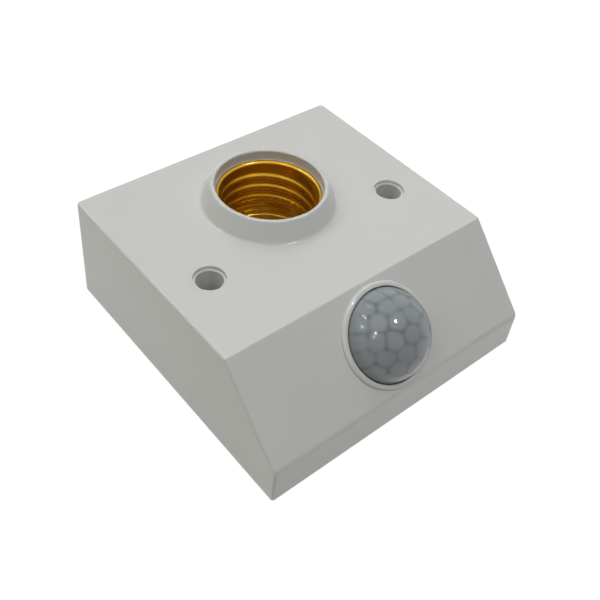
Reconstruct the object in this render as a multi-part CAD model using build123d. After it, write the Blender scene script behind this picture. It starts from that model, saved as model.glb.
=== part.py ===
"""Wall-mounted lamp holder with a motion sensor: a moulded square housing with an Edison screw socket
on its flat top, a domed sensor lens on its sloping front, and the sensor's circuit inside.

Millimetres. The origin is the middle of the mounting face, +Z points out of the wall through the
socket, and the sloping front faces -Y. The sizes come first, then one function for each piece.
"""

from build123d import *
from math import asin, atan2, cos, degrees, radians, sin, tan
import os

os.makedirs("parts", exist_ok=True)

# Housing, a moulding that is open at the back
base_width = 86.0
base_depth = 87.7
housing_height = 32.1
lip_height = 11.0  # upright front face under the slope
slope_length = 29.33  # from the front face up to the slope's top edge
side_draft = 0.85  # degrees
back_draft = 2.5  # degrees
wall = 2.2
corner_radius = 1.4  # upright edges at the back
front_edge_radius = 0.8  # upright front edges, which run on up the slope's sides
edge_radius = 0.6
nose_radius = 2.6  # edge between the slope and the front face
rib_thickness = 1.4
rib_height = 9.0
back_rib_x = 7.0

# Lamp socket
socket_setback = 14.8  # socket's axis behind the middle of the base
collar_height = 5.5
collar_rim_radius = 15.7
collar_foot_radius = 18.3
collar_bore_radius = 14.6
collar_foot_fillet = 1.0
collar_rim_fillet = 0.4
mouth_depth = 3.0  # from the collar's rim down to the screw shell's rim
shell_major_radius = 13.3
shell_minor_radius = 12.25
shell_sheet = 0.3
shell_rim_width = 0.6
shell_rim_gap = 0.15
shell_foot_radius = 1.2
thread_pitch = 3.63
thread_turns = 3.1
thread_lead_in = 2.4  # from the shell's rim to the middle of the first ridge
thread_ridge_radius = 1.3
shell_floor_opening = 8.2
socket_gap = 0.3
sleeve_wall = 1.8
socket_floor_height = 7.5  # underside of the socket's floor above the mounting face
socket_floor_thickness = 2.5

# Rivets, solder tags and sprung contact in the socket's floor
eyelet_circle_radius = 10.4
contact_rivet_setback = 4.6  # in front of the socket's axis
rivet_radius = 1.2
rivet_gap = 0.1
rivet_head_radius = 1.9
rivet_head = 0.5
eyelet_bore = 0.7
tag_thickness = 0.5
tag_radius = 2.4
tag_width = 3.0
contact_tag_reach = 7.0
shell_tag_reach = 8.0
contact_width = 5.0
contact_sheet = 0.5
contact_rise = 2.8
contact_root = 7.0
contact_tip = 5.5
contact_bend = 0.9
contact_flat = 0.4  # flat strip beyond the rivet's head

# Wells for the two screws into the wall box
wall_screw_spacing = 60.6
well_y = -0.7  # on the line of the wall box's lugs, just in front of the middle
well_radius = 3.5
well_wall = 1.8
well_mouth_radius = 4.2
well_mouth_depth = 0.9
wall_screw_hole_radius = 2.25
well_floor = 3.0

# Domed lens on the slope
lens_drop = 14.75  # lens axis down the slope from its top edge
lens_radius = 12.0
dome_height = 9.1
dome_lift = 1.2  # foot of the dome above the slope
lens_wall = 0.9
lens_gap = 0.35
lens_flange_width = 0.95
lens_flange_thickness = 1.0
lens_ring_radius = 13.65
lens_ring_height = 0.95
lens_ring_fillet = 0.75
facet_rings = ((1, 0.0), (6, 26.0), (12, 49.5), (18, 71.0))  # how many facets, degrees off the axis

# Back cover
cover_thickness = 2.0
cover_recess = 0.4
cover_ledge = 1.0
cover_gap = 0.25
cover_corner = 1.0
cover_rib_height = 1.2
cover_rib_x = 12.4
cover_rib_front = -14.0
cover_rib_back = 14.0
cover_rib_margin = 6.0
corner_boss_inset = 3.9  # boss axis from the inner walls
corner_boss_radius = 3.1
cable_hole_radius = 4.5
cable_hole_inset = 7.6  # from the back wall's inner face
cable_collar_wall = 1.5
cable_collar_height = 1.5

# Self-tapping screws
screw_radius = 1.4
pilot_gap = 0.05
screw_hole_gap = 0.3
screw_head_radius = 2.6
screw_head_height = 1.5
screw_grip = 6.0
pilot_spare = 1.5
slot_width = 0.7
slot_depth = 0.6

# Main circuit board
board_thickness = 1.6
board_side_gap = 2.6
board_front_gap = 8.6
board_back_gap = 1.9  # board's back edge in front of the socket's sleeve
board_corner = 1.5
board_notch_gap = 1.5  # round the screw wells
board_boss_radius = 2.8
board_boss_inset = 3.6

# Trimmers under the main board
trimmer_size = 6.6
trimmer_base_thickness = 1.6
rotor_radius = 2.7
rotor_thickness = 1.0
rotor_lift = 0.3  # between rotor and base
rotor_pivot_radius = 0.9
rotor_pivot_gap = 0.08
rotor_cover_gap = 1.5
rotor_slot_length = 3.8
trimmer_access_radius = 2.6
trimmer_x = 20.0
trimmer_front = 7.2  # trimmer axis behind the board's front edge

# Parts on the main board: width, depth, height
relay_size = (18.4, 10.2, 15.3)
relay_x = -10.0
relay_back = 1.3  # behind it, to the board's edge
dropper_size = (16.0, 7.0, 13.0)
dropper_x = 9.5
dropper_back = 2.4
smoothing_radius = 5.0
smoothing_height = 12.5
smoothing_groove_height = 2.1
smoothing_inset = 11.2  # its axis from the board's right edge
smoothing_front = 13.0  # its axis behind the board's front edge
chip_size = (10.3, 7.5, 2.4)
chip_x = -8.2
chip_front = 5.6
chip_stand = 0.3
chip_leads = 8
chip_lead_pitch = 1.27
chip_lead_width = 0.42
chip_lead_sheet = 0.3
chip_lead_reach = 1.4
rectifier_size = (8.3, 6.4, 3.0)
rectifier_inset = 11.7
rectifier_front = 3.6
resistor_radius = 1.15
resistor_waist_radius = 0.98
resistor_length = 6.4
resistor_span = 10.2
resistor_wire_radius = 0.3
resistor_stand = 1.6
resistor_inset = 12.2  # from the board's left edge
resistor_count = 4
resistor_pitch = 3.6
resistor_front = 5.6

# Sensor behind the lens
sensor_can_radius = 4.05
sensor_can_height = 3.6
sensor_can_sheet = 0.25
sensor_header_radius = 4.6
sensor_header_thickness = 0.6
sensor_window_width = 4.6
sensor_window_height = 3.4
sensor_window_lap = 0.3
sensor_window_thickness = 0.4
sensor_pin_radius = 0.23
sensor_pin_circle = 2.54
sensor_pin_count = 3
pin_gap = 0.1
pin_tail = 1.2
sensor_board_height = 17.0
sensor_board_thickness = 1.2
retainer_wall = 2.0
retainer_lap = 0.2  # beyond the lens flange
retainer_depth = 2.7
ear_thickness = 1.9
ear_radius = 3.2
sensor_screw_x = 18.0
sensor_screw_grip = 2.0
sensor_pilot_spare = 0.3
sensor_boss_radius = 2.6
light_cell_radius = 2.5
light_cell_thickness = 2.0
light_cell_x = 8.0
light_cell_stand = 2.4
light_cell_leg_spacing = 3.4

# Terminal block for the mains wires
block_width = 16.0
block_length = 16.0
block_height = 13.0
block_underside = 5.0
block_y = 19.0
block_sleeve_gap = 1.3
block_corner = 1.0
pole_spacing = 9.2
cage_width = 4.6
cage_height = 7.4
cage_length = 11.6
cage_gap = 0.2
cage_lift = 3.0  # cage above the block's underside
wire_hole_radius = 1.6
wire_hole_cover = 1.4  # brass over the wire hole
wire_window_gap = 0.3
clamp_screw_radius = 1.25
clamp_head_radius = 1.9
clamp_head_height = 1.6
clamp_hole_gap = 0.3
clamp_spacing = 6.4
clamp_play = 0.05
pedestal_radius = 3.5
block_screw_recess = 2.2

# Internal leads
lead_radius = 0.8
lead_bend = 1.6
lead_floor_height = 4.6
lead_bend_tight = 1.0
lead_landing = 3.0  # on the board, from its back edge
mains_lead_landing = 5.0
mains_lead_spacing = 2.2
lead_turn_y = 10.0
lead_pass_y = 4.0
ribbon_width = 5.0
ribbon_thickness = 1.3
ribbon_x = 12.4
ribbon_knee = 2.6  # the bend's height above the main board
ribbon_reach = 8.2  # the most that it runs straight back from the sensor board
ribbon_bend = 1.5

# Heights and places that follow from the sizes above
half_width = base_width / 2
half_depth = base_depth / 2
slope_angle = asin((housing_height - lip_height) / slope_length)
slope_top_y = slope_length * cos(slope_angle) - half_depth
collar_rim_z = housing_height + collar_height
shell_rim_z = collar_rim_z - mouth_depth
floor_top = socket_floor_height + socket_floor_thickness
shell_outer_radius = shell_major_radius + shell_sheet
shell_rim_radius = shell_outer_radius + shell_rim_width
sleeve_bore_radius = shell_outer_radius + socket_gap
sleeve_radius = sleeve_bore_radius + sleeve_wall
cover_inside = cover_recess + cover_thickness
cover_inset = wall - cover_ledge + cover_gap
rotor_face = cover_inside + rotor_cover_gap
board_underside = rotor_face + rotor_thickness + rotor_lift + trimmer_base_thickness
board_top = board_underside + board_thickness
board_half_width = half_width - wall - board_side_gap
board_front = -half_depth + wall + board_front_gap
board_back = socket_setback - sleeve_radius - board_back_gap
well_outer_radius = well_radius + well_wall
well_x = wall_screw_spacing / 2
notch_x = well_x - well_outer_radius - board_notch_gap
notch_y = well_y - well_outer_radius - board_notch_gap
lens_hole_radius = lens_radius + lens_gap
lens_sphere_radius = (lens_radius**2 + dome_height**2) / (2 * dome_height)
lens_sphere_centre = dome_lift + dome_height - lens_sphere_radius
flange_back = wall + lens_flange_thickness  # depths here are measured inwards from the slope
sensor_front = flange_back + retainer_depth
sensor_back = sensor_front + sensor_board_thickness
pilot_radius = screw_radius + pilot_gap
screw_hole_radius = screw_radius + screw_hole_gap
rivet_hole_radius = rivet_radius + rivet_gap
corner_x = half_width - wall - corner_boss_inset
corner_y = half_depth - wall - corner_boss_inset
corner_places = [(sx * corner_x, sy * corner_y) for sx in (-1, 1) for sy in (-1, 1)]
board_boss_x = board_half_width - board_boss_inset
board_boss_rows = (board_front + board_boss_inset, notch_y - board_boss_inset)
board_boss_places = [(sx * board_boss_x, y) for sx in (-1, 1) for y in board_boss_rows]
trimmer_y = board_front + trimmer_front
block_x = sleeve_radius + block_sleeve_gap + block_width / 2
block_top = block_underside + block_height
well_places = [(-well_x, well_y), (well_x, well_y)]
pole_places = [block_x - pole_spacing / 2, block_x + pole_spacing / 2]
cage_low = block_underside + cage_lift
wire_height = cage_low + cage_height - wire_hole_cover - wire_hole_radius
cable_hole_x = pole_places[0]
cable_hole_y = half_depth - wall - cable_hole_inset
eyelet_places = [(-eyelet_circle_radius, socket_setback), (eyelet_circle_radius, socket_setback)]
contact_rivet_place = (0, socket_setback - contact_rivet_setback)
light_leg_places = [(light_cell_x, s * light_cell_leg_spacing / 2) for s in (-1, 1)]
sensor_pin_places = [
    (sensor_pin_circle * cos(radians(a)), sensor_pin_circle * sin(radians(a)))
    for a in (360 / sensor_pin_count * k + 90 for k in range(sensor_pin_count))
]

# The slope's own frame: origin on the lens axis at the outer surface, Y up the slope, Z outwards
lens_y = slope_top_y - lens_drop * cos(slope_angle)
lens_z = housing_height - lens_drop * sin(slope_angle)
slope = Plane(origin=(0, lens_y, lens_z), x_dir=(1, 0, 0), z_dir=(0, -sin(slope_angle), cos(slope_angle)))

UP = (Align.CENTER, Align.CENTER, Align.MIN)
BOTH_SIDES = (-1, 1)


def disc(radius, low, high):
    """A round bar on the Z axis between two heights."""
    return Pos(0, 0, low) * Cylinder(radius, high - low, align=UP)


def tube(outer, inner, low, high):
    """A round bar with a hole right through it."""
    return disc(outer, low, high) - disc(inner, low - 1, high + 1)


def block(width, depth, low, high):
    """A square-edged bar on the Z axis between two heights."""
    return Pos(0, 0, low) * Box(width, depth, high - low, align=UP)


def plate(width, depth, corner, low, high):
    """A flat plate with rounded corners between two heights."""
    return Pos(0, 0, low) * extrude(RectangleRounded(width, depth, corner), amount=high - low)


def at(place, z=0):
    """Moves a shape to a place given as X and Y."""
    return Pos(place[0], place[1], z)


def rounded_top(shape, radius):
    """Rounds the edges of a shape's highest flat face."""
    return fillet(shape.faces().sort_by(Axis.Z)[-1].edges(), radius)


def group(shapes):
    """Several separate solids as one node."""
    return Part() + list(shapes)


def housing_form(inset, bottom):
    """The housing's outer form moved inwards by the inset, and run down to the given height.

    It is where two prisms meet: the side outline carried across, and the front outline carried back.
    """
    top = housing_height - inset
    back_lean = tan(radians(back_draft))
    side_lean = tan(radians(side_draft))
    slope_shift = inset / sin(slope_angle)
    front = -half_depth + inset
    nose = lip_height + (inset - slope_shift) * tan(slope_angle)
    ridge = slope_top_y + slope_shift - inset / tan(slope_angle)
    side_outline = Polyline(
        (front, bottom),
        (front, nose),
        (ridge, top),
        (half_depth - inset - back_lean * top, top),
        (half_depth - inset - back_lean * bottom, bottom),
        close=True,
    )
    foot = half_width - inset - side_lean * bottom
    head = half_width - inset - side_lean * top
    front_outline = Polyline((-foot, bottom), (-head, top), (head, top), (foot, bottom), close=True)
    across = extrude(Plane.YZ * make_face(side_outline), amount=base_width, both=True)
    along = extrude(Plane.XZ * make_face(front_outline), amount=base_depth, both=True)
    return across & along


def rounded_housing_form():
    """The outer form with its moulded edges.

    The nose comes first, so that it ends at sharp side edges. Each of these is then one smooth line
    from the foot to the slope's top edge, and one radius runs along it.
    """
    form = housing_form(0, 0)
    nose = form.edges().filter_by(lambda e: abs((e @ 0.5).Z - lip_height) < 0.1 and abs((e @ 0.5).X) < 1)
    form = fillet(nose, nose_radius)
    back = form.edges().filter_by(lambda e: abs((e % 0.5).Z) > 0.95 and (e @ 0.5).Y > 0)
    form = fillet(back, corner_radius)
    side_edges = form.edges().filter_by(
        lambda e: (e @ 0.5).Y < slope_top_y - 1 and abs((e % 0.5).Z) > 0.1
    )
    form = fillet(side_edges, front_edge_radius)
    top_face = form.faces().sort_by(Axis.Z)[-1]
    rim = top_face.edges().filter_by(lambda e: (e @ 0.5).Y > slope_top_y + 1)
    return fillet(rim, edge_radius)


def inside_posts():
    """Screw bosses and the terminal block's pedestal, which hang from the ceiling."""
    top = housing_height
    posts = [at(place) * disc(corner_boss_radius, cover_inside, top) for place in corner_places]
    posts += [at(place) * disc(board_boss_radius, board_top, top) for place in board_boss_places]
    return posts + [at((block_x, block_y)) * disc(pedestal_radius, block_top, top)]


def inside_ribs():
    """Webs from the socket's sleeve to the wells and the back wall, and from the corner bosses."""
    low = housing_height - wall - rib_height
    ribs = []
    for side in BOTH_SIDES:
        reach = Vector(side * well_x, well_y - socket_setback, 0)
        turn = degrees(atan2(reach.Y, reach.X))
        middle = Pos(side * well_x / 2, (socket_setback + well_y) / 2, 0) * Rot(0, 0, turn)
        ribs.append(middle * block(reach.length, rib_thickness, low, housing_height))
        back_run = half_depth - socket_setback
        back_middle = (side * back_rib_x, socket_setback + back_run / 2)
        ribs.append(at(back_middle) * block(rib_thickness, back_run, low, housing_height))
    out = corner_boss_inset + wall
    for x, y in corner_places:
        side_x = x + (out / 2 if x > 0 else -out / 2)
        side_y = y + (out / 2 if y > 0 else -out / 2)
        ribs.append(at((side_x, y)) * block(out, rib_thickness, cover_inside, housing_height))
        ribs.append(at((x, side_y)) * block(rib_thickness, out, cover_inside, housing_height))
    return ribs


def lens_ring():
    """The rounded ring that stands round the lens on the slope."""
    ring = disc(lens_ring_radius, -wall / 2, lens_ring_height)
    return slope * rounded_top(ring, lens_ring_fillet)


def make_housing():
    body = rounded_housing_form() - housing_form(wall, -1.0)

    # What stands inside is trimmed so that nothing comes through the outer faces
    sleeve = Pos(0, socket_setback, 0) * disc(sleeve_radius, socket_floor_height, housing_height)
    wells = [at(place) * disc(well_outer_radius, 0, housing_height) for place in well_places]
    ear_seat = ear_thickness - sensor_front
    sensor_bosses = [
        slope * Pos(s * sensor_screw_x, 0, 0) * disc(sensor_boss_radius, ear_seat, -wall / 2)
        for s in BOTH_SIDES
    ]
    inside = Part() + [sleeve] + wells + sensor_bosses + inside_posts() + inside_ribs()
    body += inside & housing_form(wall / 2, 0)

    # Socket collar: a cone with a small fillet at its foot, then the stepped bore and the rounded rim
    cone = Cone(collar_foot_radius, collar_rim_radius, collar_height, align=UP)
    body += Pos(0, socket_setback, housing_height) * cone
    foot = body.edges().filter_by(GeomType.CIRCLE).filter_by(
        lambda e: abs(e.radius - collar_foot_radius) < 0.01 and abs((e @ 0).Z - housing_height) < 0.01
    )
    body = fillet(foot, collar_foot_fillet)
    shell_seat = shell_rim_z - shell_sheet
    body -= Pos(0, socket_setback, 0) * disc(collar_bore_radius, shell_rim_z, collar_rim_z + 1)
    body -= Pos(0, socket_setback, 0) * disc(shell_rim_radius + shell_rim_gap, shell_seat, collar_rim_z)
    body -= Pos(0, socket_setback, 0) * disc(sleeve_bore_radius, floor_top, collar_rim_z)
    round_edges = body.edges().filter_by(GeomType.CIRCLE)
    rim = round_edges.filter_by(lambda e: abs((e @ 0).Z - collar_rim_z) < 0.01)
    body = fillet(rim, collar_rim_fillet)
    for place in eyelet_places + [contact_rivet_place]:
        body -= at(place) * disc(rivet_hole_radius, socket_floor_height - 1, floor_top + 1)

    # Ring round the lens, and the hole that the lens looks out of
    body += lens_ring()
    body -= slope * disc(lens_hole_radius, -wall - 1, lens_ring_height + 1)

    # Screw wells: a shallow wider mouth, the deep well, and the hole in its floor
    well = disc(well_mouth_radius, housing_height - well_mouth_depth, housing_height + 1)
    well += disc(well_radius, well_floor, housing_height)
    well += disc(wall_screw_hole_radius, -1, well_floor)
    for place in well_places:
        body -= at(place) * well

    # Pilot holes for the self-tapping screws
    depth = screw_grip + pilot_spare
    for place in corner_places:
        body -= at(place) * disc(pilot_radius, cover_inside - 1, cover_inside + depth)
    for place in board_boss_places:
        body -= at(place) * disc(pilot_radius, board_top - 1, board_top + depth)
    body -= at((block_x, block_y)) * disc(pilot_radius, block_top - 1, block_top + depth)
    for side in BOTH_SIDES:
        pilot = disc(pilot_radius, ear_seat - 1, ear_seat + sensor_screw_grip + sensor_pilot_spare)
        body -= slope * Pos(side * sensor_screw_x, 0, 0) * pilot

    # Step that the back cover sits in, which leaves the wells standing
    step = housing_form(wall - cover_ledge, -1.0)
    step &= block(2 * base_width, 2 * base_depth, -1, cover_inside)
    for place in well_places:
        step -= at(place) * disc(well_outer_radius, -2, cover_inside + 1)
    return body - step


def make_back_cover():
    width = base_width - 2 * cover_inset
    depth = base_depth - 2 * cover_inset
    cover = plate(width, depth, cover_corner, cover_recess, cover_inside)

    # Stiffening ribs on the inside
    rib_top = cover_inside + cover_rib_height
    for side in BOTH_SIDES:
        rib = block(rib_thickness, depth - 2 * cover_rib_margin, cover_recess, rib_top)
        cover += Pos(side * cover_rib_x, 0, 0) * rib
    for y in (cover_rib_front, cover_rib_back):
        cover += Pos(0, y, 0) * block(width - 2 * cover_rib_margin, rib_thickness, cover_recess, rib_top)

    # Cable hole with its collar, holes round the wells, over the trimmers and for the screws
    collar_top = cover_inside + cable_collar_height
    cable_hole = at((cable_hole_x, cable_hole_y))
    cover += cable_hole * disc(cable_hole_radius + cable_collar_wall, cover_recess, collar_top)
    cover -= cable_hole * disc(cable_hole_radius, -1, collar_top + 1)
    for place in well_places:
        cover -= at(place) * disc(well_outer_radius + cover_gap, -1, rib_top + 1)
    for side in BOTH_SIDES:
        cover -= Pos(side * trimmer_x, trimmer_y, 0) * disc(trimmer_access_radius, -1, rib_top + 1)
    sink = screw_head_radius - screw_radius
    for place in corner_places:
        cover -= at(place) * disc(screw_hole_radius, -1, cover_inside + 1)
        cover -= at(place, cover_recess) * Cone(
            screw_head_radius + screw_hole_gap, screw_hole_radius, sink, align=UP
        )
    return cover


def screw(length, head, head_height, shank, slotted=True):
    """A pan-head screw that points up, with its shank starting at height 0 and its head below."""
    cap = rounded_top(disc(head, 0, head_height), head_height / 2)
    body = Rot(180, 0, 0) * cap + disc(shank, 0, length - shank) + Pos(0, 0, length - shank) * Cone(
        shank, shank / 3, shank, align=UP
    )
    if slotted:
        body -= block(3 * head, slot_width, -head_height - 1, slot_depth - head_height)
    return body


def tapping_screw(through, grip):
    """A self-tapping screw that passes through a thickness and grips beyond it."""
    return screw(through + grip, screw_head_radius, screw_head_height, screw_radius)


def make_cover_screws():
    """Four countersunk screws, flush with the back cover."""
    sink = screw_head_radius - screw_radius
    length = cover_thickness + screw_grip
    body = Cone(screw_head_radius, screw_radius, sink, align=UP)
    body += disc(screw_radius, 0, length - screw_radius)
    body += Pos(0, 0, length - screw_radius) * Cone(screw_radius, screw_radius / 3, screw_radius, align=UP)
    body -= block(3 * screw_head_radius, slot_width, -1, slot_depth)
    return group(at(place, cover_recess) * body for place in corner_places)


def thread_ridge(radius):
    """The helical rod that rolls one thread ridge into the screw shell."""
    rod_centre_radius = shell_minor_radius + thread_ridge_radius
    start = shell_rim_z - thread_lead_in - thread_pitch * thread_turns
    path = Helix(thread_pitch, thread_pitch * thread_turns, rod_centre_radius)
    section = Plane(origin=path @ 0, z_dir=path % 0) * Circle(radius)
    return Pos(0, 0, start) * sweep(section, path=path, is_frenet=True)


def make_screw_shell():
    """Sheet brass rolled to the thread: an outer form and an inner form one sheet apart, with the
    same helix pressed into both, then a flared rim at the mouth and a floor turned inwards."""
    outside = disc(shell_outer_radius, floor_top, shell_rim_z)
    inside = disc(shell_major_radius, floor_top + shell_sheet, shell_rim_z + 1)
    foot = shell_foot_radius
    outside = fillet(outside.edges().sort_by(Axis.Z)[0], foot + shell_sheet)
    inside = fillet(inside.edges().sort_by(Axis.Z)[0], foot)
    outside -= thread_ridge(thread_ridge_radius - shell_sheet)
    inside -= thread_ridge(thread_ridge_radius)
    shell = outside - inside
    rim_bore = shell_major_radius + shell_sheet / 2
    shell += tube(shell_rim_radius, rim_bore, shell_rim_z - shell_sheet, shell_rim_z)
    shell = Pos(0, socket_setback, 0) * (shell - disc(shell_floor_opening, floor_top - 1, floor_top + 1))
    for place in eyelet_places:
        shell -= at(place) * disc(rivet_hole_radius, floor_top - 1, floor_top + 1)
    return shell


def rivet(top, bottom, bore):
    """A rivet with a head above one height and below another, hollow if it has a bore."""
    body = disc(rivet_radius, bottom - rivet_head, top + rivet_head)
    body += disc(rivet_head_radius, top, top + rivet_head)
    body += disc(rivet_head_radius, bottom - rivet_head, bottom)
    if bore:
        body -= disc(bore, bottom - rivet_head - 1, top + rivet_head + 1)
    return body


def make_shell_eyelets():
    """Two hollow rivets through the shell's floor, the right one through the solder tag as well."""
    top = floor_top + shell_sheet
    left = at(eyelet_places[0]) * rivet(top, socket_floor_height, eyelet_bore)
    right = at(eyelet_places[1]) * rivet(top, socket_floor_height - tag_thickness, eyelet_bore)
    return group([left, right])


def make_contact_rivet():
    top = floor_top + contact_sheet
    return at(contact_rivet_place) * rivet(top, socket_floor_height - tag_thickness, 0)


def make_centre_contact():
    """A sprung brass strip: riveted flat at its root, rising to the crest that the lamp presses."""
    middle = contact_sheet / 2
    line = FilletPolyline(
        (-contact_root, middle),
        (-contact_rivet_setback + rivet_head_radius + contact_flat, middle),
        (0, contact_rise),
        (contact_tip / 2, contact_rise),
        (contact_tip, contact_rise / 3),
        radius=contact_bend,
    )
    strip = extrude(Plane.YZ * trace(line, line_width=contact_sheet), amount=contact_width / 2, both=True)
    strip = Pos(0, socket_setback, floor_top) * strip
    return strip - at(contact_rivet_place) * disc(rivet_hole_radius, floor_top - 1, floor_top + 1)


def solder_tag(place, reach):
    """A ring under the rivet with a tongue towards the front, where the lead is soldered."""
    outline = Circle(tag_radius) + Pos(0, -reach / 2) * Rectangle(tag_width, reach)
    outline -= Circle(rivet_hole_radius)
    return at(place, socket_floor_height - tag_thickness) * extrude(outline, amount=tag_thickness)


def make_lens_dome():
    """A thin dome: a smooth sphere outside and flat facets inside, so that each cell is a small lens.

    A cylindrical skirt carries the dome through the housing to the flange that is clamped behind it.
    """
    span = 3 * lens_radius
    dome = Pos(0, 0, lens_sphere_centre) * Sphere(lens_sphere_radius)
    dome &= block(span, span, dome_lift, span)
    dome += disc(lens_radius, -flange_back, dome_lift)
    dome += disc(lens_radius + lens_flange_width, -flange_back, -wall)

    # The hollow is a round bar with its end cut by one plane for each facet
    hollow = disc(lens_radius - lens_wall, -flange_back - 1, span)
    beyond = block(span, span, lens_sphere_radius - lens_wall, span)
    for count, tilt in facet_rings:
        for k in range(count):
            turn = Rot(0, 0, 360 / count * (k + 0.5)) * Rot(0, tilt, 0)
            hollow -= Pos(0, 0, lens_sphere_centre) * turn * beyond
    return slope * (dome - hollow)


def make_lens_retainer():
    """The ring that clamps the lens flange, with two ears for the sensor board's screws."""
    outer = lens_radius + lens_flange_width + retainer_lap
    ears = SlotOverall(2 * (sensor_screw_x + ear_radius), 2 * ear_radius)
    body = disc(outer, -sensor_front, -flange_back)
    body += Pos(0, 0, -sensor_front) * extrude(ears, amount=ear_thickness)
    body -= disc(outer - retainer_wall, -sensor_front - 1, 0)
    for side in BOTH_SIDES:
        body -= Pos(side * sensor_screw_x, 0, 0) * disc(screw_hole_radius, -sensor_front - 1, 0)
    return slope * body


def make_sensor_board():
    width = 2 * (sensor_screw_x + ear_radius)
    board = plate(width, sensor_board_height, board_corner, -sensor_back, -sensor_front)
    for side in BOTH_SIDES:
        board -= Pos(side * sensor_screw_x, 0, 0) * disc(screw_hole_radius, -sensor_back - 1, 0)
    for place in sensor_pin_places + light_leg_places:
        board -= at(place) * disc(sensor_pin_radius + pin_gap, -sensor_back - 1, 0)
    return slope * board


def make_sensor_board_screws():
    through = sensor_board_thickness + ear_thickness
    one = tapping_screw(through, sensor_screw_grip)
    return group(slope * Pos(s * sensor_screw_x, 0, -sensor_back) * one for s in BOTH_SIDES)


def make_sensor_header():
    """The sensor's base with its three pins, which pass through the board."""
    body = disc(sensor_header_radius, -sensor_front, -sensor_front + sensor_header_thickness)
    for place in sensor_pin_places:
        body += at(place) * disc(sensor_pin_radius, -sensor_back - pin_tail, -sensor_front)
    return slope * body


def can_span():
    """Lowest and highest level of the sensor's can in the slope's frame."""
    low = -sensor_front + sensor_header_thickness
    return low, low + sensor_can_height


def make_sensor_can():
    """A drawn metal cap with a square window in its end."""
    low, high = can_span()
    can = rounded_top(disc(sensor_can_radius, low, high), sensor_can_sheet * 2)
    can -= disc(sensor_can_radius - sensor_can_sheet, low - 1, high - sensor_can_sheet)
    return slope * (can - block(sensor_window_width, sensor_window_height, low, high + 1))


def make_sensor_window():
    """The dark filter glued behind the can's opening."""
    high = can_span()[1] - sensor_can_sheet
    width = sensor_window_width + 2 * sensor_window_lap
    height = sensor_window_height + 2 * sensor_window_lap
    return slope * block(width, height, high - sensor_window_thickness, high)


def make_light_cell():
    """A light-dependent resistor on its two legs."""
    low = -sensor_front + light_cell_stand
    body = Pos(light_cell_x, 0, 0) * disc(light_cell_radius, low, low + light_cell_thickness)
    for place in light_leg_places:
        body += at(place) * disc(sensor_pin_radius, -sensor_back - pin_tail, low)
    return slope * body


def make_main_board():
    depth = board_back - board_front
    middle = (board_back + board_front) / 2
    board = plate(2 * board_half_width, depth, board_corner, board_underside, board_top)
    board = Pos(0, middle, 0) * board
    notch = 2 * (board_half_width - notch_x)
    for side in BOTH_SIDES:
        corner = at((side * board_half_width, board_back))
        board -= corner * block(notch, 2 * (board_back - notch_y), board_underside - 1, board_top + 1)
    for place in board_boss_places:
        board -= at(place) * disc(screw_hole_radius, board_underside - 1, board_top + 1)
    return board


def make_main_board_screws():
    one = tapping_screw(board_thickness, screw_grip)
    return group(at(place, board_underside) * one for place in board_boss_places)


def make_relay():
    width, depth, height = relay_size
    place = (relay_x, board_back - relay_back - depth / 2)
    return at(place) * rounded_top(block(width, depth, board_top, board_top + height), edge_radius)


def make_dropper_capacitor():
    width, depth, height = dropper_size
    body = block(width, depth, board_top, board_top + height)
    body = fillet(body.edges().filter_by(Axis.Z), board_corner)
    return at((dropper_x, board_back - dropper_back - depth / 2)) * body


def make_smoothing_capacitor():
    """A sleeved can with its rolled groove near the foot and rounded shoulders."""
    body = rounded_top(disc(smoothing_radius, board_top, board_top + smoothing_height), edge_radius)
    groove = Torus(smoothing_radius + edge_radius / 2, edge_radius)
    body -= Pos(0, 0, board_top + smoothing_groove_height) * groove
    return at((board_half_width - smoothing_inset, board_front + smoothing_front)) * body


def make_control_chip():
    """A flat package with a row of bent leads along each long side."""
    width, depth, height = chip_size
    low = board_top + chip_stand
    body = block(width, depth, low, low + height)
    shoulder = low + height / 2
    foot = board_top + chip_lead_sheet / 2
    for k in range(chip_leads):
        x = chip_lead_pitch * (k - (chip_leads - 1) / 2)
        for side in BOTH_SIDES:
            line = Polyline(
                (side * depth / 2, shoulder),
                (side * (depth / 2 + chip_lead_reach / 2), shoulder),
                (side * (depth / 2 + chip_lead_reach / 2), foot),
                (side * (depth / 2 + chip_lead_reach), foot),
            )
            strip = Plane.YZ * trace(line, line_width=chip_lead_sheet)
            body += Pos(x, 0, 0) * extrude(strip, amount=chip_lead_width / 2, both=True)
    return at((chip_x, board_front + chip_front)) * body


def make_bridge_rectifier():
    width, depth, height = rectifier_size
    body = rounded_top(block(width, depth, board_top, board_top + height), edge_radius / 2)
    return at((board_half_width - rectifier_inset, board_front + rectifier_front)) * body


def make_resistor(k):
    """An axial resistor: a dog-bone body on a wire bent down to the board at both ends."""
    axis_height = board_top + resistor_stand
    line = FilletPolyline(
        (-resistor_span / 2, 0, board_top),
        (-resistor_span / 2, 0, axis_height),
        (resistor_span / 2, 0, axis_height),
        (resistor_span / 2, 0, board_top),
        radius=resistor_wire_radius * 2,
    )
    body = sweep(Plane(origin=line @ 0, z_dir=line % 0) * Circle(resistor_wire_radius), path=line)
    end = resistor_radius
    barrel = Cylinder(resistor_waist_radius, resistor_length)
    for side in BOTH_SIDES:
        barrel += Pos(0, 0, side * (resistor_length - end) / 2) * Cylinder(resistor_radius, end)
    body += Pos(0, 0, axis_height) * Rot(0, 90, 0) * barrel
    return at((resistor_inset - board_half_width, board_front + resistor_front + k * resistor_pitch)) * body


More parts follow.
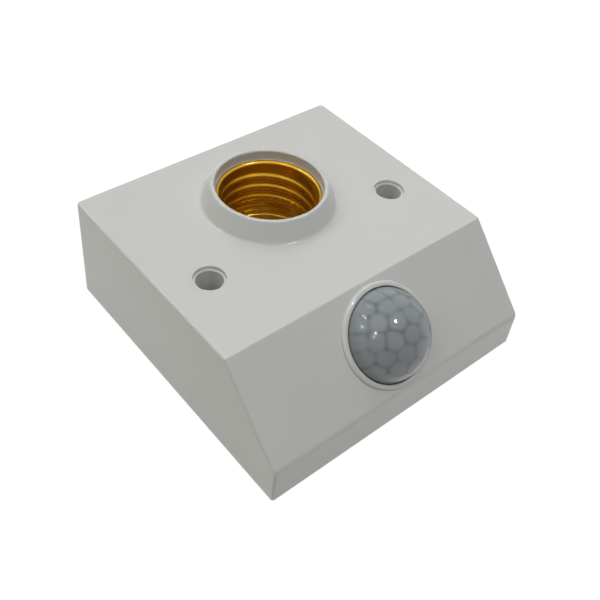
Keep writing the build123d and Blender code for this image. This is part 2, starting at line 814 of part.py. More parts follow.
def make_trimmer_base(x):
    """The trimmer's square base under the board, with the hole that its rotor turns in."""
    low = board_underside - trimmer_base_thickness
    body = block(trimmer_size, trimmer_size, low, board_underside)
    body = fillet(body.edges().filter_by(Axis.Z), board_corner / 3)
    body -= disc(rotor_pivot_radius + rotor_pivot_gap, low - 1, board_underside + 1)
    return at((x, trimmer_y)) * body


def make_trimmer_rotor(x):
    """The disc that a screwdriver turns through the back cover, with its cross slot and its pivot."""
    top = rotor_face + rotor_thickness
    body = disc(rotor_radius, rotor_face, top)
    body += disc(rotor_pivot_radius, top, board_underside - rotor_pivot_gap)
    slot = block(rotor_slot_length, slot_width, rotor_face - 1, rotor_face + slot_depth)
    body -= [slot, Rot(0, 0, 90) * slot]
    pointer = Pos(0, rotor_radius, 0) * disc(slot_width, rotor_face - 1, top + 1)
    return at((x, trimmer_y)) * (body - pointer)


def make_terminal_block():
    """A two-pole insulating block with a pocket for each brass cage and a recess for its own screw."""
    body = block(block_width, block_length, block_underside, block_top)
    body = fillet(body.edges().filter_by(Axis.Z), block_corner)
    for x in (-pole_spacing / 2, pole_spacing / 2):
        pocket = block(cage_width + 2 * cage_gap, cage_length + 2 * cage_gap, cage_low, block_top + 1)
        body -= Pos(x, 0, 0) * pocket
        window = Cylinder(wire_hole_radius + wire_window_gap, 2 * block_length)
        body -= Pos(x, 0, wire_height) * Rot(90, 0, 0) * window
        for y in (-clamp_spacing / 2, clamp_spacing / 2):
            body -= Pos(x, y, 0) * disc(clamp_head_radius + clamp_hole_gap, block_underside - 1, cage_low)
    body -= disc(screw_hole_radius, block_underside - 1, block_top + 1)
    recess_radius = screw_head_radius + screw_hole_gap
    body -= disc(recess_radius, block_underside - 1, block_underside + block_screw_recess)
    return at((block_x, block_y)) * body


def make_terminal_cages():
    """Two brass cages, each with a hole for the wire and two for its clamp screws."""
    cage = block(cage_width, cage_length, cage_low, cage_low + cage_height)
    cage -= Pos(0, 0, wire_height) * Rot(90, 0, 0) * Cylinder(wire_hole_radius, 2 * cage_length)
    for y in (-clamp_spacing / 2, clamp_spacing / 2):
        cage -= Pos(0, y, 0) * disc(clamp_screw_radius + clamp_play, cage_low - 1, wire_height)
    return group(at((x, block_y)) * cage for x in pole_places)


def make_terminal_screws():
    """Four clamp screws that stop against the wire."""
    head_seat = cage_low - clamp_play
    length = wire_height - lead_radius - clamp_play - head_seat
    one = screw(length, clamp_head_radius, clamp_head_height, clamp_screw_radius)
    ends = (-clamp_spacing / 2, clamp_spacing / 2)
    return group(at((x, block_y + y), head_seat) * one for x in pole_places for y in ends)


def make_terminal_block_screw():
    head_seat = block_underside + block_screw_recess
    one = tapping_screw(block_top - head_seat, screw_grip)
    return at((block_x, block_y), head_seat) * one


def lead(points, bend):
    """An insulated wire: a round section carried along straight runs joined by arcs."""
    line = FilletPolyline(*points, radius=bend)
    return sweep(Plane(origin=line @ 0, z_dir=line % 0) * Circle(lead_radius), path=line)


def make_mains_lead(pole):
    """From a terminal cage, between the socket and the right-hand well, down to the main board."""
    x = pole_places[pole]
    start = block_y - clamp_spacing / 4
    landing_x = pole_places[0] + pole * mains_lead_spacing
    landing_y = board_back - mains_lead_landing
    points = [(x, start, wire_height)]
    if pole:
        points += [(x, lead_turn_y, wire_height), (landing_x, lead_pass_y, wire_height)]
    points += [(landing_x, landing_y, wire_height), (landing_x, landing_y, board_top)]
    return lead(points, lead_bend)


def make_socket_lead(place, reach):
    """From a solder tag, down beside the back cover and forward to the main board's underside."""
    x = place[0]
    start = place[1] - reach + tag_width / 2
    landing = board_back - lead_landing
    points = [
        (x, start, socket_floor_height - tag_thickness),
        (x, start, lead_floor_height),
        (x, landing, lead_floor_height),
        (x, landing, board_underside),
    ]
    return lead(points, lead_bend_tight)


def make_sensor_ribbon():
    """A flat ribbon from the back of the sensor board down to the main board."""
    start = slope.from_local_coords(Vector(ribbon_x, 0, -sensor_back))
    room = (lens_z - board_top - ribbon_knee) / cos(slope_angle)
    knee_depth = min(room, sensor_back + ribbon_reach)
    knee = slope.from_local_coords(Vector(ribbon_x, 0, -knee_depth))
    line = FilletPolyline(start, knee, (knee.X, knee.Y, board_top), radius=ribbon_bend)
    end = Plane(origin=line @ 0, x_dir=(1, 0, 0), z_dir=line % 0)
    return sweep(end * Rectangle(ribbon_width, ribbon_thickness), path=line)


pieces = {
    "housing": make_housing(),
    "back_cover": make_back_cover(),
    "back_cover_screws": make_cover_screws(),
    "screw_shell": make_screw_shell(),
    "shell_eyelets": make_shell_eyelets(),
    "centre_contact": make_centre_contact(),
    "contact_rivet": make_contact_rivet(),
    "contact_tag": solder_tag(contact_rivet_place, contact_tag_reach),
    "shell_tag": solder_tag(eyelet_places[1], shell_tag_reach),
    "lens_dome": make_lens_dome(),
    "lens_retainer": make_lens_retainer(),
    "sensor_board": make_sensor_board(),
    "sensor_board_screws": make_sensor_board_screws(),
    "sensor_header": make_sensor_header(),
    "sensor_can": make_sensor_can(),
    "sensor_window": make_sensor_window(),
    "light_cell": make_light_cell(),
    "main_board": make_main_board(),
    "main_board_screws": make_main_board_screws(),
    "relay": make_relay(),
    "dropper_capacitor": make_dropper_capacitor(),
    "smoothing_capacitor": make_smoothing_capacitor(),
    "control_chip": make_control_chip(),
    "bridge_rectifier": make_bridge_rectifier(),
    "time_trimmer_base": make_trimmer_base(-trimmer_x),
    "time_trimmer_rotor": make_trimmer_rotor(-trimmer_x),
    "light_trimmer_base": make_trimmer_base(trimmer_x),
    "light_trimmer_rotor": make_trimmer_rotor(trimmer_x),
    "terminal_block": make_terminal_block(),
    "terminal_cages": make_terminal_cages(),
    "terminal_screws": make_terminal_screws(),
    "terminal_block_screw": make_terminal_block_screw(),
    "live_lead": make_mains_lead(0),
    "neutral_lead": make_mains_lead(1),
    "contact_lead": make_socket_lead(contact_rivet_place, contact_tag_reach),
    "shell_lead": make_socket_lead(eyelet_places[1], shell_tag_reach),
    "sensor_ribbon": make_sensor_ribbon(),
}
for k in range(resistor_count):
    pieces[f"resistor_{k + 1}"] = make_resistor(k)

for name, shape in pieces.items():
    export_step(shape, f"parts/{name}.step")
print("nodes", len(pieces))
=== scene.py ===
# %% [markdown]
# # A lamp holder with a motion sensor
#
# The object is a white plastic housing that screws over a wall box. A lamp screws into the socket on its
# flat top, and a domed lens on its slope watches for people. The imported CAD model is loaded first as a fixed
# frame: every solid is already in place, in metres, with +Z out of the wall. This script gives each solid
# its surface, makes the pieces that need a finer form than a solid has, and lights them.

# %% Load the frame
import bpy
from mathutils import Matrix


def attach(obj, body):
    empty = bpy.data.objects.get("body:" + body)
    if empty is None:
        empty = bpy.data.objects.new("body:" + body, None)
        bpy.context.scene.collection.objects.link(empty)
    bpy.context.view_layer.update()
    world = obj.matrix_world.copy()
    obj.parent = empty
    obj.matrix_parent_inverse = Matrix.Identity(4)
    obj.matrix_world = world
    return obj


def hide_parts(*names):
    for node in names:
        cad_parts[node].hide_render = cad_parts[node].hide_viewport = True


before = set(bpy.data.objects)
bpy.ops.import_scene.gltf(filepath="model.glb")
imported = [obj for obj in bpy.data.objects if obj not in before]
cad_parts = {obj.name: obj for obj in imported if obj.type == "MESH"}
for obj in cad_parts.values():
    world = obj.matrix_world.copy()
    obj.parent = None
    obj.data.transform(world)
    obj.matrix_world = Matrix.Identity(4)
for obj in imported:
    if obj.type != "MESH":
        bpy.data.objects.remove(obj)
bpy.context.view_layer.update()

# %% [markdown]
# ## Working in millimetres
#
# The maker's drawing is in millimetres and Blender's frame in metres, so each length is written as the
# drawing gives it and multiplied by MM once. numpy does the geometry: a whole surface is a few arrays.

import bpy
import numpy as np
from mathutils import Matrix, Vector

MM = 0.001
TURN = 2 * np.pi

# %% [markdown]
# ## Colours and shader nodes
#
# A colour picked from a photograph is an sRGB value, but shaders add light in linear values, so one function
# turns the first into the second. A second one adds a shader node: its settings go by name, and each
# socket gets either a value or the output of another node, which is linked to it. Two nodes come up so
# often that they have short forms: a blend of two colours, and a step of arithmetic.

# %% Colour and node helpers
def linear(hex_colour):
    """The linear colour of an sRGB hex value: the standard curve, which is a power of 2.4 above a short
    straight toe."""
    srgb = np.array([int(hex_colour[i : i + 2], 16) for i in (1, 3, 5)]) / 255
    rgb = np.where(srgb <= 0.04045, srgb / 12.92, ((srgb + 0.055) / 1.055) ** 2.4)
    return (*rgb.tolist(), 1.0)


def add(tree, kind, sockets=None, **settings):
    """Adds a shader node to a tree, with its settings, socket values and links."""
    made = tree.nodes.new("ShaderNode" + kind)
    for name, value in settings.items():
        setattr(made, name, value)
    for name, value in (sockets or {}).items():
        if isinstance(value, bpy.types.NodeSocket):
            tree.links.new(value, made.inputs[name])
        else:
            made.inputs[name].default_value = value
    return made


def mix(tree, share, first, second, **settings):
    """The colour that lies that share of the way from the first colour to the second."""
    sockets = {0: share, 6: first, 7: second}
    return add(tree, "Mix", sockets, data_type="RGBA", **settings).outputs[2]


def maths(tree, operation, *values):
    """The result of one step of arithmetic on these values."""
    return add(tree, "Math", dict(enumerate(values)), operation=operation).outputs[0]


print("mid grey in linear light:", round(linear("#808080")[0], 3))

# %% [markdown]
# ## A finish and its pattern
#
# Each material is one Principled shader. Nothing that leaves a mould or a press is quite even, so a pattern
# in the piece's own coordinates drives three things at once: two close tones lie in soft patches, the
# gloss wanders with them, and a finer grain lifts the surface by a few thousandths of a millimetre. Sizes
# are given in millimetres, and a stretch draws the pattern out along one axis, as brushing or drawing does.

# %% A finish with patches, wandering gloss and relief
finishes = {}


def finish(slot, name, tone, gloss, metallic=0.0, ior=1.5):
    """A new material for one slot of the record: its node tree, its shader and the object's coordinates."""
    material = bpy.data.materials.new(name)
    material.use_nodes = True
    tree = material.node_tree
    tree.nodes.clear()
    values = {"Base Color": linear(tone), "Roughness": gloss, "Metallic": metallic, "IOR": ior}
    shader = add(tree, "BsdfPrincipled", values)
    add(tree, "OutputMaterial", {"Surface": shader.outputs[0]})
    finishes[slot] = material
    return tree, shader, add(tree, "TexCoord").outputs["Object"]


def pattern(made, tones, patch, glosses, grain, lift, stretch=(1, 1, 1)):
    """Draws a finish's two tones in patches, its two glosses, and a relief of that grain and lift in mm, and
    gives back the colour, for finishes that add to it."""
    tree, shader, place = made
    drawn = add(tree, "Mapping", {"Vector": place, "Scale": stretch}).outputs[0]
    patches = add(tree, "TexNoise", {"Vector": drawn, "Scale": 1 / (patch * MM), "Detail": 3.0}).outputs[0]
    colour = mix(tree, patches, linear(tones[0]), linear(tones[1]))
    gloss = add(tree, "MapRange", {0: patches, 3: glosses[0], 4: glosses[1]}).outputs[0]
    grains = add(tree, "TexNoise", {"Vector": drawn, "Scale": 1 / (grain * MM), "Detail": 2.0}).outputs[0]
    relief = add(tree, "Bump", {"Height": grains, "Distance": lift * MM, "Strength": 1.0}).outputs[0]
    for socket, output in (("Base Color", colour), ("Roughness", gloss), ("Normal", relief)):
        tree.links.new(output, shader.inputs[socket])
    return colour


def translucent(shader, weight, depth):
    """Lets that share of the light into the plastic, where it spreads about that depth in mm."""
    skin = {"Subsurface Weight": weight, "Subsurface Radius": (1.0, 1.0, 1.0), "Subsurface Scale": depth * MM}
    for name, value in skin.items():
        shader.inputs[name].default_value = value


print("a finish has two tones, two glosses and a relief")

# %% [markdown]
# ## White moulded plastic
#
# The housing is ABS, injection moulded in a polished steel mould. The polish gives a gloss that draws a
# lamp out into a thin bright line along a rounded edge, the melt leaves a faint orange peel with a grain of
# about half a millimetre, and where the melt cooled slower, over bosses and ribs, the gloss and the tone
# are a trace softer. The plastic lets some light in, so its edges are a little soft. The back cover comes
# from an etched mould that leaves it satin, so its grain is finer and deeper.

# %% Housing finish
abs_tones = ("#D6D7D2", "#D2D3CF")
made = finish("white_abs", "moulded_white_abs", abs_tones[0], 0.13, ior=1.53)
pattern(made, abs_tones, patch=20.0, glosses=(0.11, 0.16), grain=0.55, lift=0.0006)
translucent(made[1], weight=0.2, depth=1.2)

made = finish("white_abs_back", "moulded_satin_abs", abs_tones[0], 0.4, ior=1.53)
pattern(made, abs_tones, patch=9.0, glosses=(0.36, 0.48), grain=0.3, lift=0.004)
print("finishes:", sorted(finishes))

# %% [markdown]
# ## Gold-coloured brass
#
# The screw shell is brass sheet, drawn into a cup and rolled to the lamp's thread. Drawing leaves fine
# upright lines in the wall, so the pattern is pulled out twelvefold along the socket's axis. A metal's
# colour is the colour of its reflections: light that bounces once off brass is yellow, twice is amber. A
# clear lacquer keeps it from tarnishing and adds a little haze, so it is slightly less than fully metallic.

# %% Screw shell finish
made = finish("gold_brass", "drawn_gold_brass", "#C99E2C", 0.25, metallic=0.88)
brass_tones = ("#D0A42E", "#BD912A")
pattern(made, brass_tones, patch=3.0, glosses=(0.2, 0.31), grain=0.45, lift=0.004, stretch=(1, 1, 0.08))
print("brass:", finishes["gold_brass"].name)

# %% [markdown]
# ## Milky lens plastic
#
# The lens is thin moulded polyethylene, milky to the eye but clear to body heat. Each cell inside is a small
# lens. Its colour carries painted light: each cell is painted brighter in its middle, by a share that differs
# from cell to cell, and painted shade lies as soft grey lines along the ridges between the cells, darkest
# where three cells meet. The mesh carries these distances as attributes, so the painted light and shade
# follow the cells that the geometry has. A slow noise lets the painted shade lines fade in places.

# %% Lens finish
# the lighter milk tone that the painted light reaches in each cell's middle, also the shader's first base
# value
painted_lit_milk_tone = "#8E9699"
made = finish("lens_polyethylene", "moulded_milky_polyethylene", painted_lit_milk_tone, 0.08, ior=1.54)
milk_and_painted_light = pattern(made, ("#8D9497", "#838A8D"), patch=5.0, glosses=(0.045, 0.08), grain=0.9, lift=0.0012)
tree, shader, place = made
# the painted light and shade of the lens cells, read from the mesh
painted_cell_light, border, corner = (
    add(tree, "Attribute", attribute_name=mark).outputs["Fac"]
    for mark in ("painted_cell_light", "painted_border_shade", "painted_corner_shade")
)
# a slow noise that fades the painted shade lines in places
fade_size, fade_from, fade_to, fade_least = 6.0, 0.38, 0.6, 0.05
fade = add(tree, "TexNoise", {"Vector": place, "Scale": 1 / (fade_size * MM), "Detail": 1.0}).outputs[0]
fade = add(tree, "MapRange", {0: fade, 1: fade_from, 2: fade_to, 3: fade_least}).outputs[0]
# painted light: each cell lighter towards its middle
milk_and_painted_light = mix(tree, painted_cell_light, milk_and_painted_light, linear(painted_lit_milk_tone))
# painted shade: grey lines along the ridges between the cells
milk_and_painted_light = mix(tree, maths(tree, "MULTIPLY", border, fade), milk_and_painted_light, linear("#646C6F"))
# painted shade: darker still where three cells meet
milk_and_painted_light = mix(tree, corner, milk_and_painted_light, linear("#5A6265"))
tree.links.new(milk_and_painted_light, shader.inputs["Base Color"])
translucent(shader, weight=0.25, depth=0.6)
print("lens:", finishes["lens_polyethylene"].name)

# %% [markdown]
# ## The metals and plastics inside
#
# The rest of the pieces show only when the holder is opened or seen from below, but each is a real material.
# One table gives them all: the tones, the gloss, the size of the patches and grain in millimetres, and
# the stretch where a piece was drawn or rolled. Each line says what the finish gives the eye. A piece that
# is coloured in bands has tones near white here, and its colours come in the next step.

# %% Inside finishes
inside = {
    # slot: name, two tones, metallic, two glosses, patch, grain, lift, stretch
    "zinc_steel": (  # a cool grey with a fine crystal grain from the plating bath
        "zinc_plated_steel", ("#B9BDC2", "#A7A79B"), 1.0, (0.26, 0.42),
        1.8, 0.25, 0.004, (1, 1, 1),
    ),
    "nickel_brass": (  # a warm silver, smooth, because thin plating follows the brass
        "nickel_plated_brass", ("#C9C4B6", "#B5AE9C"), 1.0, (0.2, 0.32),
        1.5, 0.2, 0.002, (1, 1, 1),
    ),
    "phosphor_bronze": (  # a copper red with long lines from the rolls
        "rolled_phosphor_bronze", ("#D9A066", "#C48B54"), 1.0, (0.24, 0.36),
        2.0, 0.5, 0.002, (12, 1, 1),
    ),
    "tinned_brass": (  # a dull silver that wanders, because the dip cools unevenly
        "tinned_brass", ("#C6C7C4", "#ABACA6"), 1.0, (0.3, 0.5),
        1.2, 0.3, 0.004, (1, 1, 1),
    ),
    "nickel_can": (  # a smooth silver, with the marks of the draw round the cup
        "drawn_nickel_can", ("#C5C3BC", "#B4B1A8"), 1.0, (0.22, 0.34),
        2.0, 0.4, 0.002, (1, 1, 8),
    ),
    "cage_brass": (  # a bright yellow with fine tool marks
        "turned_brass", ("#D8B765", "#C2A052"), 1.0, (0.22, 0.36),
        1.6, 0.3, 0.003, (1, 8, 1),
    ),
    "infrared_filter": (  # nearly black with a trace of violet, and as glossy as glass
        "coated_silicon_filter", ("#2A2530", "#352C38"), 0.0, (0.06, 0.12),
        1.0, 0.6, 0.0005, (1, 1, 1),
    ),
    "light_cell_ceramic": (  # a cream glaze with small pools in its gloss
        "glazed_cell_ceramic", ("#D9CFAF", "#CBBF9C"), 0.0, (0.25, 0.4),
        0.8, 0.3, 0.003, (1, 1, 1),
    ),
    "circuit_board": (  # a green mask over glass cloth, which shows as a fine relief
        "glass_epoxy_board", ("#1E6B3A", "#18592F"), 0.0, (0.28, 0.42),
        3.0, 0.6, 0.006, (1, 1, 1),
    ),
    "relay_case": (  # a satin moulding, blue by its bands
        "moulded_blue_polyester", ("#FFFFFF", "#E9E9EC"), 0.0, (0.3, 0.42),
        4.0, 0.4, 0.004, (1, 1, 1),
    ),
    "capacitor_box": (  # a mustard resin, cast, so its face is soft and uneven
        "cast_yellow_resin", ("#C9A53A", "#BC982F"), 0.0, (0.3, 0.45),
        3.0, 0.5, 0.006, (1, 1, 1),
    ),
    "capacitor_sleeve": (  # a thin film shrunk onto the can, dark by its bands
        "shrunk_pvc_sleeve", ("#FFFFFF", "#E6E6EA"), 0.0, (0.22, 0.34),
        2.0, 0.7, 0.004, (1, 1, 4),
    ),
    "chip_epoxy": (  # matt, with a sandy grain from the mould
        "moulded_black_epoxy", ("#FFFFFF", "#E2E2E4"), 0.0, (0.5, 0.62),
        1.5, 0.12, 0.005, (1, 1, 1),
    ),
    "trimmer_base": (  # a strong blue, satin
        "moulded_blue_nylon", ("#2E62B5", "#2857A4"), 0.0, (0.35, 0.5),
        2.0, 0.3, 0.004, (1, 1, 1),
    ),
    "trimmer_rotor": (  # an off-white, satin, warmer than the housing
        "moulded_white_nylon", ("#E4E0D2", "#D8D3C4"), 0.0, (0.38, 0.5),
        1.5, 0.3, 0.004, (1, 1, 1),
    ),
    "terminal_polyamide": (  # a light grey, satin, a little cooler than the housing
        "moulded_polyamide", ("#D9DAD6", "#CDCFCB"), 0.0, (0.34, 0.46),
        3.0, 0.35, 0.004, (1, 1, 1),
    ),
    "lead_brown": (  # a soft gloss with faint waves from the extruder, brown for live
        "extruded_brown_pvc", ("#5C3420", "#66402A"), 0.0, (0.32, 0.42),
        2.0, 0.5, 0.003, (1, 1, 1),
    ),
    "lead_blue": (  # the same skin in blue, for neutral
        "extruded_blue_pvc", ("#2A5AA0", "#3164AC"), 0.0, (0.32, 0.42),
        2.0, 0.5, 0.003, (1, 1, 1),
    ),
    "ribbon_grey": (  # the same skin in grey, a little duller
        "extruded_grey_pvc", ("#9A9C9E", "#8D9092"), 0.0, (0.36, 0.46),
        2.0, 0.5, 0.003, (1, 1, 1),
    ),
    "resistor_lacquer": (  # a thick wavy dip, tan by its bands
        "dipped_tan_lacquer", ("#FFFFFF", "#E8E8E4"), 0.0, (0.3, 0.42),
        1.2, 0.4, 0.004, (1, 1, 1),
    ),
}
inner = {}
for slot, (name, tones, metallic, glosses, patch, grain, lift, stretch) in inside.items():
    made = finish(slot, name, tones[0], glosses[0], metallic)
    inner[slot] = (made, pattern(made, tones, patch, glosses, grain, lift, stretch))
print(len(finishes), "finishes")

# %% [markdown]
# ## Bands of colour
#
# Some components change colour or metal along one axis: a resistor is tan lacquer with coloured rings
# between two tinned wires, a chip is black epoxy between two rows of tinned leads, a relay's case stands on
# a line of black sealing resin, and an electrolytic capacitor has a bare aluminium top. A colour ramp with
# hard steps along that axis gives each its places, and its alpha says which steps are bare metal.

# %% Steps along an axis
def banded(slot, axis, end, steps):
    """Multiplies a finish by a ramp of hard steps along an axis. Each step is its start in mm, its colour
    and whether it is metal, and the last one runs to the end."""
    (tree, shader, place), tone = inner[slot]
    start = steps[0][0]
    along = add(tree, "SeparateXYZ", {0: place}).outputs[axis]
    share = add(tree, "MapRange", {0: along, 1: start * MM, 2: end * MM}).outputs[0]
    ramp = add(tree, "ValToRGB", {0: share})
    ramp.color_ramp.interpolation = "CONSTANT"
    for number, (begin, colour, metal) in enumerate(steps):
        at = (begin - start) / (end - start)
        step = ramp.color_ramp.elements[0] if number == 0 else ramp.color_ramp.elements.new(at)
        step.color = (*linear(colour)[:3], metal)
    ramp.color_ramp.elements.remove(ramp.color_ramp.elements[-1])
    tone = mix(tree, 1.0, ramp.outputs[0], tone, blend_type="MULTIPLY")
    tree.links.new(tone, shader.inputs["Base Color"])
    tree.links.new(ramp.outputs["Alpha"], shader.inputs["Metallic"])


wire, tan = ("#C6C7C4", 1.0), ("#C9A77A", 0.0)
banded("resistor_lacquer", "X", -20.6, (
    (-31.4, *wire), (-29.2, *tan), (-28.6, "#5B3420", 0.0), (-28.0, *tan), (-27.1, "#191919", 0.0),
    (-26.5, *tan), (-25.6, "#D8722A", 0.0), (-25.0, *tan), (-24.0, "#B08A35", 0.0), (-23.4, *tan),
    (-22.8, *wire),
))
banded("chip_epoxy", "Y", -22.2, ((-32.7, *wire), (-31.2, "#26272A", 0.0), (-23.7, *wire)))
banded("relay_case", "Z", 23.8, ((8.3, "#1B1C1F", 0.0), (9.3, "#2C5FA8", 0.0)))
banded("capacitor_sleeve", "Z", 21.0, ((8.3, "#23262E", 0.0), (20.55, "#C8CACC", 1.0)))
print("bands on resistors, chip, relay and capacitor")

# %% [markdown]
# ## Circuit board
#
# The board is glass and epoxy under a green solder mask, and everything on it keeps to a grid of a tenth of
# an inch. Copper tracks lie under the mask as slightly lighter lines: they are the mortar of a brick
# pattern, rows one pitch apart with a link every four pitches. Bare tinned pads are the spots at the middles
# of a Voronoi pattern, about two pitches apart and a little out of line.

# %% Tracks and pads
(tree, shader, place), mask = inner["circuit_board"]
grid, track_width, pad_share = 2.54, 0.35, 0.17
tracks = {0: place, "Scale": 1.0, "Mortar Size": track_width * MM, "Mortar Smooth": 0.2}
tracks |= {"Brick Width": 4 * grid * MM, "Row Height": grid * MM}
mask = mix(tree, add(tree, "TexBrick", tracks).outputs["Fac"], mask, linear("#2F8550"))
spots = {0: place, "Scale": 1 / (2 * grid * MM), "Randomness": 0.35}
pad = maths(tree, "LESS_THAN", add(tree, "TexVoronoi", spots).outputs["Distance"], pad_share)
mask = mix(tree, pad, mask, linear("#C9C9C2"))
tree.links.new(mask, shader.inputs["Base Color"])
tree.links.new(pad, shader.inputs["Metallic"])
print("tracks and pads on the circuit boards")

# %% [markdown]
# ## Dress the solids
#
# Each solid arrives with the name of its slot in the record, so the right finish is found by that name.

# %% Give every solid its finish
slot_of = {name: piece.data.materials[0].name for name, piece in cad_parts.items()}
for name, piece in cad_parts.items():
    piece.data.materials[0] = finishes[slot_of[name]]
print(len(slot_of), "solids dressed")

# %% [markdown]
# ## From a grid of points to a mesh
#
# Both new pieces are surfaces of two parameters: how far along a profile, and how far round an axis. numpy
# works out all the points at once, and the faces are the same grid shifted by one row and one column.

# %% A closed ring of columns becomes a mesh
def surface(name, points, slot, replaced):
    """A mesh from a grid of points in mm: rows run along the profile, columns close round the axis. Where a
    row has shrunk to one point, as at a pole, its columns are merged and the faces there are triangles.
    Gives back the object and the numbers of the grid's points that it kept."""
    rows, columns = points.shape[:2]
    numbers = np.arange(rows * columns).reshape(rows, columns)
    one_point = 1e-9
    for row in (0, rows - 1):
        if np.ptp(points[row], axis=0).max() < one_point:
            numbers[row] = numbers[row, 0]
    here, beside = numbers, np.roll(numbers, -1, axis=1)
    quads = np.stack([here[:-1], beside[:-1], beside[1:], here[1:]], axis=-1).reshape(-1, 4)
    used = np.unique(quads)
    quads = np.searchsorted(used, quads)
    distinct = np.ones(quads.shape, bool)
    distinct[:, 1] = quads[:, 1] != quads[:, 0]
    distinct[:, 3] = quads[:, 3] != quads[:, 2]
    corners = quads[distinct]
    starts = np.concatenate([[0], np.cumsum(distinct.sum(axis=1))[:-1]])
    mesh = bpy.data.meshes.new(name)
    mesh.vertices.add(len(used))
    mesh.vertices.foreach_set("co", (points.reshape(-1, 3)[used] * MM).ravel())
    mesh.loops.add(len(corners))
    mesh.loops.foreach_set("vertex_index", corners.astype(np.int32))
    mesh.polygons.add(len(starts))
    mesh.polygons.foreach_set("loop_start", starts.astype(np.int32))
    mesh.update(calc_edges=True)
    mesh.shade_smooth()
    mesh.materials.append(finishes[slot])
    piece = bpy.data.objects.new(name, mesh)
    bpy.context.scene.collection.objects.link(piece)
    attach(piece, "holder")
    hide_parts(replaced)
    print(name, len(mesh.polygons), "faces")
    return piece, used


def arc(centre, radius, start, end, steps):
    """Points on a circle of that radius about a centre, from one angle to another in degrees."""
    angle = np.radians(np.linspace(start, end, steps))
    return np.stack([centre[0] + radius * np.cos(angle), centre[1] + radius * np.sin(angle)], axis=1)


# %% [markdown]
# ## The screw shell
#
# The shell is a cup of thin sheet, and the lamp's thread is rolled into it as a wave that climbs one pitch
# in each turn. The wave's section is two arcs, crest and root, of the same radius. The profile runs from
# the flared rim down the wall, over a small shoulder and down a narrower neck to the turned-in floor. The
# thread takes its height off the radius where a point of the wall lies near the helix, and its ends fade
# in over a quarter turn. The grid is a single skin, and a Solidify modifier gives it the sheet's thickness.

# %% Roll the thread into the wall
socket_y = 14.8
rim_z, rim_radius, flare = 34.6, 14.2, 0.8
wall_radius, shoulder_z, neck_radius = 13.3, 15.9, 12.9
floor_z, foot_radius, floor_opening = 10.3, 0.5, 8.2
pitch, turns, thread_bottom, ridge, run_out = 3.63, 4.1, 18.067, 0.62, 0.25
rim_round, shoulder_round, sheet_thickness = 0.12, 0.2, 0.3
wall_rows, shell_columns = 124, 240


def thread_height(angle, height):
    """Height of the thread over the plain wall. A point's distance from the helix along the axis is the
    remainder of its height less pitch times its angle in turns. Within a quarter pitch of the helix the
    section is the crest's arc, and beyond that the root's, of a radius that makes them meet smoothly. At
    both ends of the thread the height fades as 3t^2 - 2t^3."""
    climb = (height - thread_bottom) / pitch - angle / TURN
    nearest = np.round(climb)
    away = np.abs(climb - nearest) * pitch
    bend = (pitch**2 / 4 + ridge**2) / (4 * ridge)
    crest = ridge - bend + np.sqrt(np.maximum(bend**2 - away**2, 0))
    root = bend - np.sqrt(np.maximum(bend**2 - (pitch / 2 - away) ** 2, 0))
    wave = np.where(away < pitch / 4, crest, root)
    along = nearest + angle / TURN
    fade = np.clip(np.minimum(along, turns - along) / run_out, 0, 1)
    return wave * fade * fade * (3 - 2 * fade)


wall_z = np.linspace(rim_z - flare, shoulder_z + shoulder_round, wall_rows)[1:-1]
profile = np.concatenate([
    arc((rim_radius - rim_round, rim_z - rim_round), rim_round, 0, 80, 4),
    arc((wall_radius + flare, rim_z - flare), flare, 80, 180, 14),
    np.stack([np.full_like(wall_z, wall_radius), wall_z], axis=1),
    arc((wall_radius - shoulder_round, shoulder_z + shoulder_round), shoulder_round, 0, -90, 6),
    arc((neck_radius + shoulder_round, shoulder_z - shoulder_round), shoulder_round, 90, 180, 6),
    arc((neck_radius - foot_radius, floor_z + foot_radius), foot_radius, 0, -90, 12),
    [(floor_opening, floor_z)],
])
round_angle = np.linspace(0, TURN, shell_columns, endpoint=False)
height, angle = np.meshgrid(profile[:, 1], round_angle, indexing="ij")
radius = profile[:, :1] - thread_height(angle, height)
shell_points = np.stack(
    [radius * np.cos(angle), socket_y + radius * np.sin(angle), height], axis=-1
)
shell, _ = surface("thread_shell", shell_points, "gold_brass", "screw_shell")
sheet = shell.modifiers.new("sheet", "SOLIDIFY")
sheet.thickness, sheet.offset = sheet_thickness * MM, -1.0

# %% [markdown]
# ## The lens
#
# Outside, the dome is part of a sphere, and it dips by only two hundredths of a millimetre between the
# cells, so a lamp shows in it as one small point. Inside, each cell is flat. Rings of cells lie round the
# middle one, so a direction from the sphere's centre belongs to the cell whose own direction is nearest,
# and the border lies where two cells are equally near. Below the dome a skirt runs through the housing to
# the flange that is clamped behind it. The painted light and shade of the finish go onto the mesh as
# attributes.

# %% Directions of the cells
# each ring: its number of cells, its tilt off the lens axis and the angle of its first cell, in degrees
cell_rings = ((1, 0.0, 0.0), (6, 22.5, -6.6), (11, 42.5, 3.1), (16, 61.0, 6.8))
lens_foot, lens_normal = np.array([0, -33.72, 21.49]), np.array([0, -0.7194, 0.6946])
up_slope, across_slope = np.array([0, 0.6946, 0.7194]), np.array([1, 0, 0])
sphere_radius, sphere_drop, lens_radius, dome_lift, hollow_lift = 12.456, 2.156, 12.0, 1.2, 1.0
skin, flange_radius, flange_top, flange_back = 0.9, 12.95, -2.2, -3.2
lens_rows, lens_columns = 92, 252


def directions(tilt, angle):
    """Unit vectors at that tilt off the lens axis and that angle round it: (sin t cos a, sin t sin a,
    cos t)."""
    return np.stack([np.sin(tilt) * np.cos(angle), np.sin(tilt) * np.sin(angle), np.cos(tilt)], axis=-1)


cells = np.concatenate([
    directions(np.full(count, np.radians(tilt)), np.radians(first) + TURN * np.arange(count) / count)
    for count, tilt, first in cell_rings
])
print(len(cells), "cells")

# %% Dome, skirt and flange
neighbour_angle = np.radians(26.0)
swell_rate, swell_reach, swell_fade = 0.002, 3.4, 0.12


